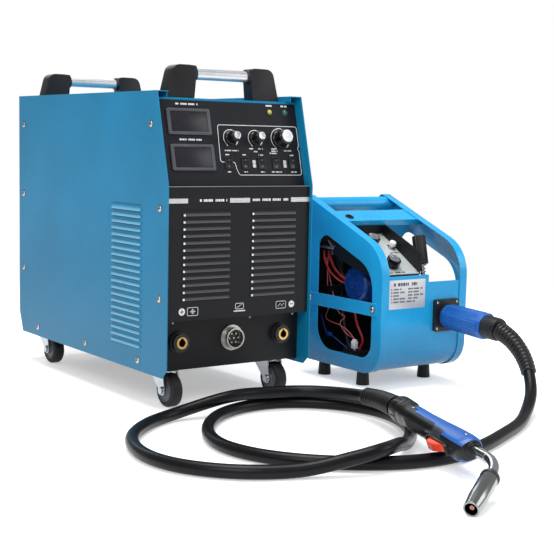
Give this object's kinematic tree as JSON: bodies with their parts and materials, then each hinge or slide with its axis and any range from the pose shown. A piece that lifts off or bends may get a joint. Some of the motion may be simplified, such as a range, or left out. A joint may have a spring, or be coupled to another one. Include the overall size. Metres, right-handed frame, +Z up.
{
  "type": "mig welder on cart",
  "caption": "Inverter MIG welding set: a louvred blue power source on swivel casters, a separate open wire feeder on feet with a remote box, and a coiled torch lead with its gun.",
  "frame": {"origin": "on the floor, in the middle of the footprint of the three pieces without the lead", "axes": "+X to the set's right seen from its front, +Y from the front to the back, +Z up"},
  "size_m": [0.8321, 1.3215, 0.5945],
  "materials": {
    "cabinet_blue": "satin",
    "black_paint": "textured satin",
    "black_moulded": "moulded",
    "tension_black": "glossy",
    "handle_silver": "anodised",
    "socket_brass": "turned",
    "socket_silver": "satin",
    "zinc_steel": "zinc plated",
    "wheel_rubber": "moulded",
    "inner_metal": "bare",
    "feeder_blue": "satin",
    "remote_black": "satin",
    "remote_silver": "satin",
    "button_white": "glossy",
    "motor_blue": "satin",
    "hub_white": "moulded",
    "wiring_red": "smooth",
    "connector_blue": "moulded",
    "lead_black": "smooth",
    "trigger_orange": "moulded",
    "torch_chrome": "polished"
  },
  "bodies": {
    "welder": {"base_tray": "black_paint", "left_cover": "cabinet_blue", "right_cover": "cabinet_blue", "top_plate": "cabinet_blue", "rear_panel": "black_paint", "control_panel": "black_paint", "front_panel": "black_paint", "handle_brackets": "black_moulded", "handle_tubes": "handle_silver", "panel_displays": "tension_black", "rocker_frames": "black_moulded", "output_sockets": "socket_brass", "control_socket": "socket_silver", "fan_frame": "black_paint", "rear_fittings": "black_moulded", "power_unit": "inner_metal", "feeder_frames": "feeder_blue", "feeder_pan": "feeder_blue", "feeder_bars": "feeder_blue", "drive_plate": "black_paint", "remote_box": "remote_black", "remote_face": "remote_silver", "drive_motor": "motor_blue", "euro_socket": "black_moulded", "feeder_feet": "wheel_rubber", "feeder_rear_panel": "black_paint", "feeder_wiring": "wiring_red", "torch_connector": "connector_blue", "lead_boots": "lead_black", "torch_lead": "lead_black", "torch_handle": "black_moulded", "torch_neck": "torch_chrome", "gas_nozzle": "torch_chrome"},
    "front_left_caster": {"front_left_fork": "zinc_steel"},
    "front_left_wheel": {"front_left_wheel": "wheel_rubber"},
    "front_right_caster": {"front_right_fork": "zinc_steel"},
    "front_right_wheel": {"front_right_wheel": "wheel_rubber"},
    "rear_left_caster": {"rear_left_fork": "zinc_steel"},
    "rear_left_wheel": {"rear_left_wheel": "wheel_rubber"},
    "rear_right_caster": {"rear_right_fork": "zinc_steel"},
    "rear_right_wheel": {"rear_right_wheel": "wheel_rubber"},
    "inductance_knob": {"inductance_knob": "black_moulded"},
    "arc_force_knob": {"arc_force_knob": "black_moulded"},
    "current_knob": {"current_knob": "black_moulded"},
    "gas_test_rocker": {"gas_test_rocker": "black_moulded"},
    "mode_rocker": {"mode_rocker": "black_moulded"},
    "wire_rocker": {"wire_rocker": "black_moulded"},
    "step_rocker": {"step_rocker": "black_moulded"},
    "remote_rocker": {"remote_rocker": "black_moulded"},
    "breaker_lever": {"breaker_lever": "black_moulded"},
    "fan_rotor": {"fan_rotor": "black_moulded"},
    "remote_voltage_knob": {"remote_voltage_knob": "black_moulded"},
    "remote_current_knob": {"remote_current_knob": "black_moulded"},
    "remote_button": {"remote_button": "button_white"},
    "drive_roller": {"drive_roller": "zinc_steel"},
    "pressure_arm": {"pressure_arm": "zinc_steel"},
    "idler_roller": {"idler_roller": "zinc_steel"},
    "tension_knob": {"tension_knob": "tension_black"},
    "spool_hub": {"spool_hub": "hub_white"},
    "torch_trigger": {"torch_trigger": "trigger_orange"}
  },
  "joints": [
    {"name": "front_left_swivel", "type": "hinge", "parent": "welder", "child": "front_left_caster", "pos_m": [-0.2835, 0.111, 0.0615], "axis": [0, 0, 1], "continuous": true},
    {"name": "front_left_roll", "type": "hinge", "parent": "front_left_caster", "child": "front_left_wheel", "pos_m": [-0.2835, 0.085, 0.03], "axis": [1, 0, 0], "continuous": true},
    {"name": "front_right_swivel", "type": "hinge", "parent": "welder", "child": "front_right_caster", "pos_m": [-0.0615, 0.111, 0.0615], "axis": [0, 0, 1], "continuous": true},
    {"name": "front_right_roll", "type": "hinge", "parent": "front_right_caster", "child": "front_right_wheel", "pos_m": [-0.0615, 0.085, 0.03], "axis": [1, 0, 0], "continuous": true},
    {"name": "rear_left_swivel", "type": "hinge", "parent": "welder", "child": "rear_left_caster", "pos_m": [-0.2835, 0.589, 0.0615], "axis": [0, 0, 1], "continuous": true},
    {"name": "rear_left_roll", "type": "hinge", "parent": "rear_left_caster", "child": "rear_left_wheel", "pos_m": [-0.2835, 0.563, 0.03], "axis": [1, 0, 0], "continuous": true},
    {"name": "rear_right_swivel", "type": "hinge", "parent": "welder", "child": "rear_right_caster", "pos_m": [-0.0615, 0.589, 0.0615], "axis": [0, 0, 1], "continuous": true},
    {"name": "rear_right_roll", "type": "hinge", "parent": "rear_right_caster", "child": "rear_right_wheel", "pos_m": [-0.0615, 0.563, 0.03], "axis": [1, 0, 0], "continuous": true},
    {"name": "inductance_turn", "type": "hinge", "parent": "welder", "child": "inductance_knob", "pos_m": [-0.1725, 0.07316, 0.47032], "axis": [0, -0.9685, 0.249], "range_deg": [-140, 140]},
    {"name": "arc_force_turn", "type": "hinge", "parent": "welder", "child": "arc_force_knob", "pos_m": [-0.1205, 0.07316, 0.47032], "axis": [0, -0.9685, 0.249], "range_deg": [-140, 140]},
    {"name": "current_turn", "type": "hinge", "parent": "welder", "child": "current_knob", "pos_m": [-0.0665, 0.07316, 0.47032], "axis": [0, -0.9685, 0.249], "range_deg": [-140, 140]},
    {"name": "gas_test_rock", "type": "hinge", "parent": "welder", "child": "gas_test_rocker", "pos_m": [-0.1825, 0.06486, 0.42599], "axis": [1, 0, 0], "range_deg": [-14, 0]},
    {"name": "mode_rock", "type": "hinge", "parent": "welder", "child": "mode_rocker", "pos_m": [-0.148, 0.06486, 0.42599], "axis": [1, 0, 0], "range_deg": [-14, 0]},
    {"name": "wire_rock", "type": "hinge", "parent": "welder", "child": "wire_rocker", "pos_m": [-0.1125, 0.06486, 0.42599], "axis": [1, 0, 0], "range_deg": [-14, 0]},
    {"name": "step_rock", "type": "hinge", "parent": "welder", "child": "step_rocker", "pos_m": [-0.0815, 0.06486, 0.42599], "axis": [1, 0, 0], "range_deg": [-14, 0]},
    {"name": "remote_rock", "type": "hinge", "parent": "welder", "child": "remote_rocker", "pos_m": [-0.0445, 0.06486, 0.42599], "axis": [1, 0, 0], "range_deg": [-14, 0]},
    {"name": "breaker_throw", "type": "hinge", "parent": "welder", "child": "breaker_lever", "pos_m": [-0.2325, 0.637, 0.161], "axis": [1, 0, 0], "range_deg": [0, 40]},
    {"name": "fan_spin", "type": "hinge", "parent": "welder", "child": "fan_rotor", "pos_m": [-0.1725, 0.618, 0.36], "axis": [0, 1, 0], "continuous": true},
    {"name": "remote_voltage_turn", "type": "hinge", "parent": "welder", "child": "remote_voltage_knob", "pos_m": [0.1755, 0.03526, 0.23295], "axis": [0, -0.5075, 0.8616], "range_deg": [-140, 140]},
    {"name": "remote_current_turn", "type": "hinge", "parent": "welder", "child": "remote_current_knob", "pos_m": [0.1755, 0.09903, 0.27051], "axis": [0, -0.5075, 0.8616], "range_deg": [-140, 140]},
    {"name": "button_press", "type": "slide", "parent": "welder", "child": "remote_button", "axis": [0, 0.5075, -0.8616], "range_m": [0, 0.004], "stiffness_N_per_m": 400, "springref_m": -0.002},
    {"name": "drive_spin", "type": "hinge", "parent": "welder", "child": "drive_roller", "pos_m": [0.2715, 0.067, 0.1238], "axis": [1, 0, 0], "continuous": true},
    {"name": "arm_lift", "type": "hinge", "parent": "welder", "child": "pressure_arm", "pos_m": [0.2715, 0.109, 0.1621], "axis": [-1, 0, 0], "range_deg": [0, 45]},
    {"name": "idler_spin", "type": "hinge", "parent": "pressure_arm", "child": "idler_roller", "pos_m": [0.2715, 0.067, 0.1541], "axis": [1, 0, 0], "continuous": true},
    {"name": "tension_turn", "type": "hinge", "parent": "pressure_arm", "child": "tension_knob", "pos_m": [0.2715, 0.04, 0.1651], "axis": [0, 0.225, 0.9744], "range_deg": [-180, 180]},
    {"name": "spool_spin", "type": "hinge", "parent": "welder", "child": "spool_hub", "pos_m": [0.2775, 0.229, 0.15295], "axis": [1, 0, 0], "continuous": true},
    {"name": "trigger_pull", "type": "hinge", "parent": "welder", "child": "torch_trigger", "pos_m": [-0.15127, -0.48394, 0.03818], "axis": [0.3367, -0.085, -0.9378], "range_deg": [0, 7], "stiffness_Nm_per_rad": 0.5, "springref_deg": -11.46}
  ],
  "couplings": [
    {"joint": "idler_spin", "follows": "drive_spin", "ratio": -1}
  ]
}
